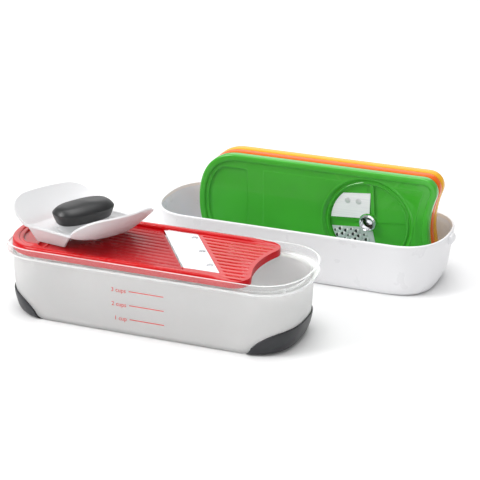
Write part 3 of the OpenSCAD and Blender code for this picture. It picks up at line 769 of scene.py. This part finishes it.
def add_ribbed(shell, left, right, groove_left, groove_right, height, half, slot=0):
    """Deck with grooves along x. The four ends are functions of y, and the height is one of x and y."""
    top, under = [], []
    for y, depth in rib_rows(half):
        xa, xd = left(y), right(y)
        xb, xc = groove_left(y), groove_right(y)
        stops = [(xa, 0), (xb, 0), (xb + 0.8, depth), (xc - 0.8, depth), (xc, 0), (xd, 0)]
        top.append([(x, y, height(x, y) - d) for x, d in stops])
        under.append([(x, y, height(x, y) - SKIN) for x, d in stops])
    shell.grid(top, under, slot)


def ramp_height(x, y):
    """Top of the ramp, which falls gently towards the blade."""
    u = x * cos(BLADE_TURN) + y * sin(BLADE_TURN)
    return BLADE_LOW - SLICE + GROOVE_DEPTH + (RAMP_U - u) * RAMP_SLOPE


def add_bar(shell, us, ys, z0, z1):
    """Level strip between two lines parallel to the blade's edge."""
    top = [[(along(u, y), y, z1) for u in us] for y in ys]
    under = [[(x, y, z0) for x, y, z in row] for row in top]
    shell.grid(top, under)


def add_blade_bed(shell, half):
    """Seat under the blade's back, its two side lands, and the cheeks at the ends of the throat."""
    gap = 0.2
    back = BACK_U + gap
    front_y, rear_y = BLADE_Y[0] - gap, BLADE_Y[1] + gap
    under_blade = BLADE_LOW - 0.02
    add_bar(shell, (SEAT_U, back), (front_y, rear_y), DECK - SKIN, under_blade)
    add_bar(shell, (RAMP_U, back), (-half, front_y), DECK - SKIN, DECK - 0.05)
    add_bar(shell, (RAMP_U, back), (rear_y, half), DECK - SKIN, DECK - 0.05)
    add_bar(shell, (RAMP_U, SEAT_U), (front_y, BLADE_Y[0] + 2.5), 2.0, under_blade)
    add_bar(shell, (RAMP_U, SEAT_U), (BLADE_Y[1] - 2.5, rear_y), 2.0, under_blade)


def build_slicer():
    """Red slicing plate: border, ribbed deck behind the blade, ribbed ramp before it, finger recess."""
    shell = Shell()
    materials = [RED, RAMP_SATIN_AND_SHADE, SKIRT]
    shell.band_loop(border_rings(flush=True), lambda i: materials.index(SKIRT if i in SKIRT_FACES else RED))
    half = PLATE_SIDE - BORDER + 0.3
    add_ribbed(shell, lambda y: along(BACK_U + 0.2, y), lambda y: bow_edge(y, 0.95),
               lambda y: along(BACK_U + 3.2, y), lambda y: bow_edge(y, 0.95) - 2.8,
               lambda x, y: DECK, half)
    add_ribbed(shell, lambda y: -71.0, lambda y: along(RAMP_U, y), lambda y: along(-24.0, y),
               lambda y: along(RAMP_U - 2.0, y), ramp_height, half, materials.index(RAMP_SATIN_AND_SHADE))
    add_blade_bed(shell, half)
    hole = add_pan(shell, SLICER_PAN_END, LAND, DECK - 1.2)
    shell.slab(clip_right(plate_outline(DECK_INSET), -70.0), [hole], DECK - 2.8, LAND)
    shell.moved(lambda p: (p[0] + PLATE_X, p[1], p[2] + PLATE_Z))
    make("slicer_plate", shell, "slicer", materials, ["slicer_frame"])


def standing(node):
    """Placement of a plate that stands on its long edge in the lid."""
    low, high = span(node)
    middle_x, foot_y, middle_z = (low[0] + high[0]) / 2, high[1], (low[2] + high[2]) / 2
    return lambda p: (middle_x + p[0], foot_y - p[2], middle_z + p[1])


green_low, green_high = span("spiral_frame")
tube_low, tube_high = span("core_cutter")
WELL_X = (tube_low[0] + tube_high[0] - green_low[0] - green_high[0]) / 2
WELL_Y = (tube_low[2] + tube_high[2] - green_low[2] - green_high[2]) / 2
WELL_R = 35.6
WELL_TURN = radians(4.5)      # the well's floor is turned a little against the plate
WELL_MOUTH = 36.2
FIELD_LIFT = 0.3
TEETH_END = 3.6               # right end of the toothed plate, from the well's middle
# radius and height over the deck, from the mouth of the well outwards
WELL_LIPS = [(WELL_MOUTH, -2.2), (36.4, -1.5), (36.9, -1.15), (37.4, -1.15), (37.9, -1.5), (38.4, -2.0),
             (39.1, -2.15), (40.0, -1.5), (40.8, -0.5), (41.3, 0.15), (41.8, 0.4), (42.4, 0.35), (43.2, 0.0)]


# start and stop in degrees, and the height at each
FLOOR_SECTORS = [(-86, 1, 2.0, 2.35), (1, 88, 2.85, 2.15), (88, 176, 2.5, 2.5), (176, 190, 1.2, 1.2),
                 (190, 274, 1.95, 1.95)]


def at_well(r, turn):
    """Point at a radius and an angle round the middle of the well."""
    return (WELL_X + r * cos(turn), WELL_Y + r * sin(turn))


def in_well(x, y):
    """Point given in the turned coordinates of the well's floor."""
    c, s = cos(WELL_TURN), sin(WELL_TURN)
    return (WELL_X + x * c - y * s, WELL_Y + x * s + y * c)


def ray_hit(outline, turn):
    """Distance from the middle of the well to an outline in one direction."""
    dx, dy = cos(turn), sin(turn)
    reach = 0
    for a, b in zip(outline, outline[1:] + outline[:1]):
        ex, ey = b[0] - a[0], b[1] - a[1]
        fx, fy = a[0] - WELL_X, a[1] - WELL_Y
        det = dx * ey - dy * ex
        if abs(det) > 1e-9 and 0 <= (fx * dy - fy * dx) / det <= 1:
            reach = max(reach, (fx * ey - fy * ex) / det)
    return reach


def lip_height(r):
    """Height over the deck at a radius round the well."""
    for (ra, za), (rb, zb) in zip(WELL_LIPS, WELL_LIPS[1:]):
        if r <= rb:
            return za + (zb - za) * max(0.0, r - ra) / (rb - ra)
    return 0.0


def build_spiral():
    """Green plate: flat left half with its raised field, and the round well in the right half."""
    shell = Shell()
    shell.band_loop(border_rings(flush=False))
    hole = add_pan(shell, STORED_PAN_END, DECK, DECK - STORED_PAN_DEPTH)
    shell.slab(clip_right(plate_outline(DECK_INSET), 0.0), [hole], DECK - SKIN, DECK)
    add_left_field(shell)
    add_round_deck(shell)
    for i in range(4):
        add_mark(shell, -33.0 + 3.4 * i)
    add_well(shell)
    shell.moved(standing("spiral_frame"))
    make("spiral_plate", shell, "spiral_plate", [GREEN], ["spiral_frame"])
    build_teeth()


def add_left_field(shell):
    """Low raised field on the left half, with a sloping edge."""
    field = clip_right(round_corners(clip_left(plate_outline(FIELD_INSET), -49.5), 2.0), 0.0)
    slope = ((0, DECK - 0.2), (0, DECK), (0.5, DECK + FIELD_LIFT))
    shell.ring_loft([[(x, y, z) for x, y in pull_in(field, d)] for d, z in slope], caps=False)
    shell.slab(pull_in(field, 0.5), [], DECK - 0.2, DECK + FIELD_LIFT)


def add_mark(shell, y):
    """One of the short raised lines beside the finger recess."""
    section = [(y - 0.5, DECK - 0.1), (y - 0.3, DECK + 0.22), (y + 0.3, DECK + 0.22), (y + 0.5, DECK - 0.1)]
    shell.ring_loft([[(x, a, b) for a, b in section] for x in (-61.0, -52.5)])


def pull_in(outline, d):
    """The left part of the field, drawn in by d on every side but the one at x = 0."""
    side = max(p[1] for p in outline)
    left = min(p[0] for p in outline)
    return [(x + d * (x < -0.001) * max(0.0, 1 - (x - left) / 4), y * (side - d) / side) for x, y in outline]


def add_round_deck(shell, steps=240):
    """Right half of the deck, laid out in rays from the well so that the lips stay round."""
    edge = clip_left(plate_outline(DECK_INSET), 0.0)
    field = clip_left(plate_outline(FIELD_INSET), 0.0)
    rays = []
    for i in range(steps):
        turn = 2 * pi * i / steps
        reach, lip = ray_hit(edge, turn), ray_hit(field, turn)
        on_field = lip > 45
        lift = FIELD_LIFT if on_field else 0
        stops = [(r, lip_height(min(r, reach))) for r, z in WELL_LIPS]
        end_lift = lift if reach - lip < 0.01 else 0
        stops += [(44.1, lift), (lip - 0.5 if on_field else 44.3, lift)]
        stops += [(lip if on_field else 44.5, end_lift), (reach, end_lift)]
        ray = [(*at_well(min(r, reach), turn), DECK + z) for r, z in stops]
        ray += [(*at_well(reach, turn), DECK - SKIN), (*at_well(WELL_MOUTH, turn), DECK - 3.0)]
        rays.append(ray)
    shell.band_loop([[ray[k] for ray in rays] for k in range(len(rays[0]))])


def add_well(shell, steps=120):
    """Round wall of the well, its floor in turned quarters, the ridge and the boss of the tube."""
    wall = [(WELL_R, 0.4), (WELL_R, DECK - 2.6), (WELL_R + 0.2, DECK - 2.2), (WELL_R + 0.6, DECK - 2.0),
            (WELL_R + 1.5, DECK - 2.5), (WELL_R + 1.5, 0.4)]
    shell.band_loop([[(*at_well(r, 2 * pi * i / steps), z) for i in range(steps)] for r, z in wall])
    for sector in FLOOR_SECTORS:
        add_quarter(shell, *sector)
    ridge = [(4.2, 0.5), (4.2, 4.2), (4.6, 4.6), (6.8, 4.6), (7.2, 4.2), (7.2, 0.5)]
    shell.ring_loft([[(*in_well(x, y), z) for x, z in ridge] for y in (7.4, WELL_R + 0.3)])
    boss = [(8.2, 0.4), (8.2, 3.7), (7.9, 4.0), (6.8, 4.0), (6.7, 3.6), (6.7, 0.4)]
    shell.band_loop([[(*at_well(r, 2 * pi * i / 64), z) for i in range(64)] for r, z in boss])


def add_quarter(shell, start, stop, low_z, high_z, inner=7.6, base=0.4, rows=16):
    """One sector of the floor between two angles in degrees, rising from its start to its stop."""
    top, under = [], []
    for i in range(rows + 1):
        t = i / rows
        turn = radians(start + (stop - start) * t) + WELL_TURN
        z = low_z + (high_z - low_z) * t
        row = [(*at_well(r, turn), z) for r in (inner, 14, 24, WELL_R + 0.2)]
        top.append(row)
        under.append([(x, y, base) for x, y, h in row])
    shell.grid(top, under)


def build_teeth():
    """Toothed plate: a thin sheet with punched hoods, each open on one side."""
    low, high = 2.05, 2.6
    rim, hub = WELL_R - 1.4, 8.6
    shell = Shell()
    right = atan2(-rim, TEETH_END)
    outer = [(rim * cos(t), rim * sin(t)) for t in spread(pi + 0.14, 2 * pi + right + 0.13, 48)]
    inner = [(hub * cos(t), hub * sin(t)) for t in spread(2 * pi - 1.12, pi + 0.6, 16)]
    shell.slab([in_well(*p) for p in outer + inner], [], low, high)
    for row in range(5):
        for k in range(8):
            x = -30.0 + 5.0 * k + 1.9 * (row % 3)
            y = -8.8 - 4.6 * row + 1.5 * (k % 2)
            r = sqrt(x * x + y * y)
            if 11.0 < r < rim - 2.6 and x < TEETH_END - 2.4:
                add_hood(shell, *in_well(x, y), high, 1.9 if (k + row) % 3 else 1.4)
    shell.moved(standing("spiral_frame"))
    make("tooth_plate", shell, "spiral_plate", [TEETH, TOOTH_MOUTH_SHADE], ["julienne_plate"])


def spread(start, stop, steps):
    """Evenly spaced values, both ends included."""
    return [start + (stop - start) * i / steps for i in range(steps + 1)]


def add_hood(shell, x, y, z, r, tall=1.5, steps=16):
    """A punched tooth: half dome with a dark disc of painted shade in its mouth on the left."""
    turns = [2 * pi * k / steps for k in range(steps)]
    rings = []
    for i in range(5):
        a = radians(90) * i / 4
        rings.append([(x + r * cos(a) * cos(t) * (1 if cos(t) > 0 else 0.25), y + 1.1 * r * cos(a) * sin(t),
                       z - 0.02 + tall * sin(a)) for t in turns])
    shell.ring_loft(rings, caps=False)
    mouth = [(x - 0.75 * r + 0.8 * r * cos(t), y - 0.2 + 0.8 * r * sin(t), z + 0.05) for t in turns]
    shell.ring_loft([[(a, b, z - 0.05) for a, b, c in mouth], mouth], slot=1)


def build_grater_frame(node, name, material):
    """Frame of a stored grater: a panel sunk for its sheet, with a window under the holes."""
    shell = Shell()
    shell.band_loop(border_rings(flush=False))
    hole = add_pan(shell, STORED_PAN_END, DECK, DECK - STORED_PAN_DEPTH)
    panel = rounded_box(12, 0, 124.4 / 2, 68.4 / 2, 7.2)
    window = rounded_box(12, 0, 108 / 2, 52 / 2, 4)
    shell.slab(plate_outline(DECK_INSET), [hole, panel], DECK - SKIN, DECK)
    shell.slab(panel, [window], DECK - SKIN, DECK - 0.72)
    shell.moved(standing(node))
    make(name, shell, name, [material], [node])


def rounded_box(cx, cy, hx, hy, r, steps=10):
    """Box outline about a middle, from its half sizes and corner radius."""
    points = []
    for sx, sy, a in ((1, -1, -90), (1, 1, 0), (-1, 1, 90), (-1, -1, 180)):
        points += arc((cx + sx * (hx - r), cy + sy * (hy - r)), r, radians(a), radians(a + 90), steps)
    return points


# ---- food holder ----

# The floor is a sheared rectangle with bowed sides, and a wing rises from each bowed side.
HALF_DEPTH, HALF_SIDE, SIDE_BOW, SHEAR, LIFT = 35.4, 22.8, 8.7, 7.1, 3.9
WING_OUT, WING_TOP, WING_BOW, WING_HIGH, SHELL_THICK = 15.5, 48.3, 11.8, 22.0, 1.8
PEDESTAL_HALF = 14
KNOB_SIDE, KNOB_REACH, KNOB_BASE = 16, 27.8, 6.25
KNOB_CROWN, KNOB_CROWN_RISE = 13.6, 2.4


def holder_place(p):
    """From the holder's own coordinates to the scene's."""
    c, s = cos(HOLDER_TURN), sin(HOLDER_TURN)
    return (HOLDER[0] + c * p[0] - s * p[1], HOLDER[1] + s * p[0] + c * p[1], HOLDER[2] + p[2])


def floor_point(f, v):
    """Point of the holder's floor, f from side to side and v from end to end, both -1 to 1."""
    return (f * (HALF_SIDE + SIDE_BOW * (1 - v * v)), HALF_DEPTH * v + SHEAR * f, LIFT * v ** 4)


def wing_point(s, k, m):
    """Point of a wing, s from end to end, k from its root to its top, m the side it is on."""
    v = s * (1 - 0.6 * (1 - sqrt(max(0.0, 1 - k * k))))
    bow = SIDE_BOW + (WING_BOW - SIDE_BOW) * k
    out = HALF_SIDE + bow * (1 - v * v) + WING_OUT * (1.3 * k - 0.3 * k * k)
    depth = HALF_DEPTH + (WING_TOP - HALF_DEPTH) * k
    return (m * out, depth * v + SHEAR * m, WING_HIGH * k + (1 - k) * LIFT * v ** 4)


def holder_rows():
    """The sheet in rows, from the top of one wing over the floor to the top of the other."""
    shares = [-1 + i / 20 for i in range(41)]
    heights = [1, 0.997, 0.985, 0.965, 0.935, 0.895, 0.845, 0.78, 0.7, 0.61, 0.52, 0.43, 0.34, 0.25,
               0.17, 0.1, 0.045]
    rows = [[wing_point(s, k, -1) for s in shares] for k in heights]
    rows += [[floor_point(-1 + i / 12, s) for s in shares] for i in range(25)]
    rows += [[wing_point(s, k, 1) for s in shares] for k in reversed(heights)]
    return rows


def thick_holder():
    """The holder's bent sheet as a closed shell with softened edges."""
    rows = holder_rows()
    m, n = len(rows), len(rows[0])
    faces = [[i * n + j, i * n + j + 1, (i + 1) * n + j + 1, (i + 1) * n + j]
             for i in range(m - 1) for j in range(n - 1)]
    points = [holder_place(p) for row in rows for p in row]
    mesh = bpy.data.meshes.new("holder_sheet")
    mesh.from_pydata([tuple(c * MM for c in p) for p in points], [], faces)
    sheet = new_object("holder_sheet", mesh)
    thick = sheet.modifiers.new("thick", "SOLIDIFY")
    thick.thickness = SHELL_THICK * MM
    thick.offset = 1.0
    lip = sheet.modifiers.new("lip", "BEVEL")
    lip.width = 0.5 * MM
    lip.segments = 2
    lip.angle_limit = radians(50)
    bpy.context.view_layer.update()
    solid = bpy.data.meshes.new_from_object(sheet.evaluated_get(bpy.context.evaluated_depsgraph_get()))
    shell = Shell()
    shell.add([tuple(c / MM for c in v.co) for v in solid.vertices],
              [list(p.vertices) for p in solid.polygons])
    bpy.data.objects.remove(sheet)
    return shell


def build_holder():
    shell = thick_holder()
    for turn in (1, -1):
        add_flap(shell, turn)
    add_pedestal(shell)
    make("holder_shell", shell, "holder", [MILKY], ["guard_shell"], angle=40)


def add_flap(shell, turn):
    """Hanging flap under one end of the holder's floor."""
    y = HALF_DEPTH - 0.1
    x = HALF_SIDE - 0.3
    low = PLATE_Z + 7.5 - HOLDER[2]
    top_a, top_b = (-x, -y - SHEAR, LIFT - 0.4), (x, -y + SHEAR, LIFT - 0.4)
    low_a, low_b = (-13, -y + 1.8 - 0.7 * SHEAR, low), (13, -y + 1.8 + 0.7 * SHEAR, low)
    rows = []
    for i in range(9):
        t = i / 8
        a = [top_a[k] * (1 - t) + low_a[k] * t for k in range(3)]
        b = [top_b[k] * (1 - t) + low_b[k] * t for k in range(3)]
        pinch = 0.6 * sin(pi * t)
        shares = [j / 12 for j in range(13)]
        rows.append([(a[0] * (1 - s) + b[0] * s + pinch * (1 - 2 * s), a[1] * (1 - s) + b[1] * s, a[2])
                     for s in shares])
    top = [[holder_place((turn * p[0], turn * p[1], p[2])) for p in row] for row in rows]
    under = [[holder_place((turn * p[0], turn * (p[1] + 1.7 - 0.2 * i / 8), p[2])) for p in row]
             for i, row in enumerate(rows)]
    shell.grid(top, under)


def stadium(r, z, steps=20):
    """Ring of the pedestal: two half circles joined by straight sides."""
    points = arc((0, PEDESTAL_HALF), r, 0, pi, steps) + arc((0, -PEDESTAL_HALF), r, pi, 2 * pi, steps)
    return [holder_place((x, y, z)) for x, y in points]


def add_pedestal(shell):
    """Foot between the holder's floor and the knob."""
    profile = [(10.6, 0.0), (10.0, 0.3), (9.6, 1.2), (9.5, 3.0), (9.5, 5.8), (9.1, 6.2)]
    shell.ring_loft([stadium(r, z) for r, z in profile])


def build_knob():
    """Soft knob: sides widen up to a crease, the top is a full dome."""
    # height over the base, and share of the full width
    profile = [(0.0, 0.80), (0.6, 0.83), (1.6, 0.848), (2.5, 0.87), (3.8, 0.9), (5.0, 0.93), (6.2, 0.955),
               (7.6, 0.978), (8.7, 0.993), (8.9, 0.995), (9.1, 0.99), (9.7, 0.968), (10.6, 0.925),
               (11.7, 0.865), (12.8, 0.785), (13.7, 0.70), (14.5, 0.59), (15.2, 0.45), (15.7, 0.29),
               (15.93, 0.14), (16.0, 0.03)]
    rings = []
    for z, q in profile:
        ring = []
        for j in range(96):
            a = 2 * pi * j / 96
            x = KNOB_SIDE * q * spow(cos(a), 0.8)
            y = (KNOB_REACH - KNOB_SIDE * (1 - q)) * spow(sin(a), 0.72)
            if z > KNOB_CROWN:
                y *= 1 - 0.9 * ((z - KNOB_CROWN) / KNOB_CROWN_RISE) ** 2
            ring.append(holder_place((x, y, KNOB_BASE + z)))
        rings.append(ring)
    shell = Shell()
    shell.ring_loft(rings)
    make("knob", shell, "holder", [KNOB], ["guard_knob"], angle=60)


# ---- the rest of the steel ----

def dress_steel():
    """Materials for the CAD nodes that are seen as they are."""
    for node in ("slicer_blade", "coarse_sheet", "medium_sheet"):
        dress(node, STEEL)
    for node in ("slicer_rivets", "coarse_studs", "medium_studs", "knob_screws"):
        dress(node, DOT)
    # the spiral blade's near-white colour is a painted reflection
    dress("spiral_blade", STEEL_PAINTED_REFLECTION)
    dress("spiral_rivets", TEETH)
    dress("core_cutter", PLATED)
    dress("guard_pins", MILKY)


# ---- stage ----

def build_floor():
    """Plain pale floor, just under everything that stands on it."""
    half = 4.0
    mesh = bpy.data.meshes.new("floor")
    mesh.from_pydata([(-half, -half, 0), (half, -half, 0), (half, half, 0), (-half, half, 0)], [],
                     [[0, 1, 2, 3]])
    m = Nodes("floor_white")
    m.feed("Base Color", m.colours(m.noise(3.0), (0.88, 0.88, 0.885), (0.9, 0.9, 0.9)))
    m.set(Roughness=0.6, Specular_IOR_Level=0.1)
    mesh.materials.append(m.material)
    floor = new_object("floor", mesh)
    floor.location.z = -0.0002


def aim(thing, target):
    """Turns a light or camera to face a point."""
    thing.rotation_euler = (Vector(target) - thing.location).to_track_quat("-Z", "Y").to_euler()


def area_light(name, place, target, size, power):
    lamp = bpy.data.lights.new(name, "AREA")
    lamp.shape = "RECTANGLE"
    lamp.size, lamp.size_y = size
    lamp.energy = power
    light = new_object(name, lamp)
    light.location = place
    aim(light, target)


def build_light():
    """White surroundings and four soft lights; the back one lies in the gloss of level surfaces."""
    world = bpy.data.worlds.new("studio")
    world.use_nodes = True
    background = world.node_tree.nodes["Background"]
    background.inputs["Color"].default_value = (1, 1, 1, 1)
    background.inputs["Strength"].default_value = 0.42
    bpy.context.scene.world = world
    middle = (0.03, 0.08, 0.03)
    area_light("key_left", (-1.4, -0.9, 1.6), middle, (1.0, 1.0), 30)
    area_light("top", (0.1, 0.2, 2.0), middle, (1.8, 1.4), 30)
    area_light("front", (0.5, -2.4, 1.0), middle, (2.0, 1.2), 9)
    area_light("back", (-1.0, 2.6, 1.1), middle, (3.2, 1.1), 12)


def build_camera():
    """Long lens at the photograph's viewing angle."""
    data = bpy.data.cameras.new("camera")
    data.lens = 130
    data.sensor_width = 36
    camera = new_object("camera", data)
    camera.location = (0.5610, -1.2153, 0.5999)
    aim(camera, (0.0304, 0.1010, 0.0375))
    bpy.context.scene.camera = camera


def build_scene():
    build_camera()
    build_floor()
    build_light()
    bpy.context.scene.view_settings.view_transform = "Standard"
    bpy.context.scene.cycles.transparent_max_bounces = 24
    build_box()
    build_grip(1, "right_grip_cap")
    build_grip(-1, "left_grip_cap")
    build_marks()
    build_lid()
    build_slicer()
    build_spiral()
    build_grater_frame("coarse_frame", "coarse_plate", ORANGE)
    build_grater_frame("medium_frame", "medium_plate", YELLOW)
    build_holder()
    build_knob()
    dress_steel()


build_scene()
